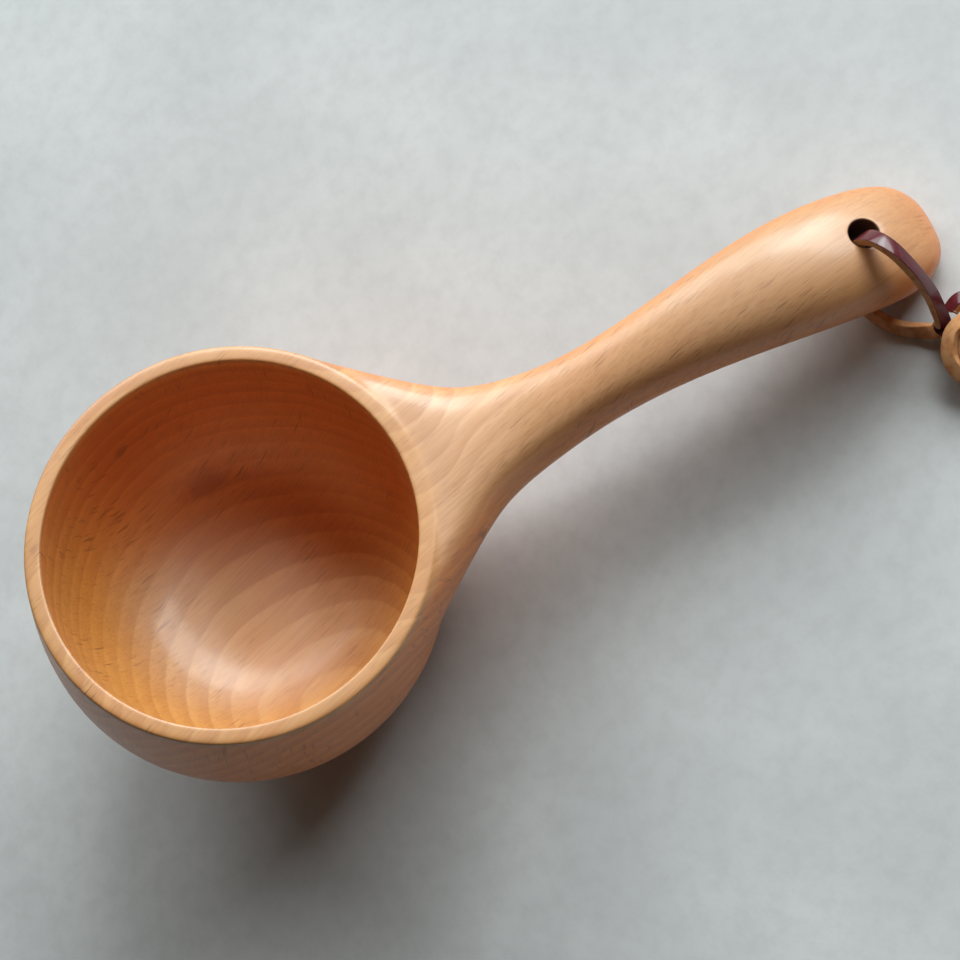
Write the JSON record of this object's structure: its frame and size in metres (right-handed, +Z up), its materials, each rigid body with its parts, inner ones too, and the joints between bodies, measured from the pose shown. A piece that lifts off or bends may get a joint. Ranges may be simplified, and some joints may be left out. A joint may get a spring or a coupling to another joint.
{
  "type": "rice scoop",
  "caption": "Wooden rice scoop: a deep round bowl and a waisted handle carved in one piece, with a knotted flat leather lace through the handle's end to hang it by.",
  "frame": {"origin": "middle of the footprint of the scoop without its lace, on the surface that it rests on", "axes": "+X from the bowl towards the handle's end, +Z up, as the scoop rests on a table"},
  "size_m": [0.2446, 0.103, 0.0848],
  "materials": {
    "beech": "satin",
    "leather": "satin"
  },
  "bodies": {
    "root": {"scoop": "beech", "lace_upper_leg": "leather", "lace_lower_leg": "leather", "lace_knot": "leather", "lace_upper_tail": "leather", "lace_lower_tail": "leather"}
  },
  "joints": []
}
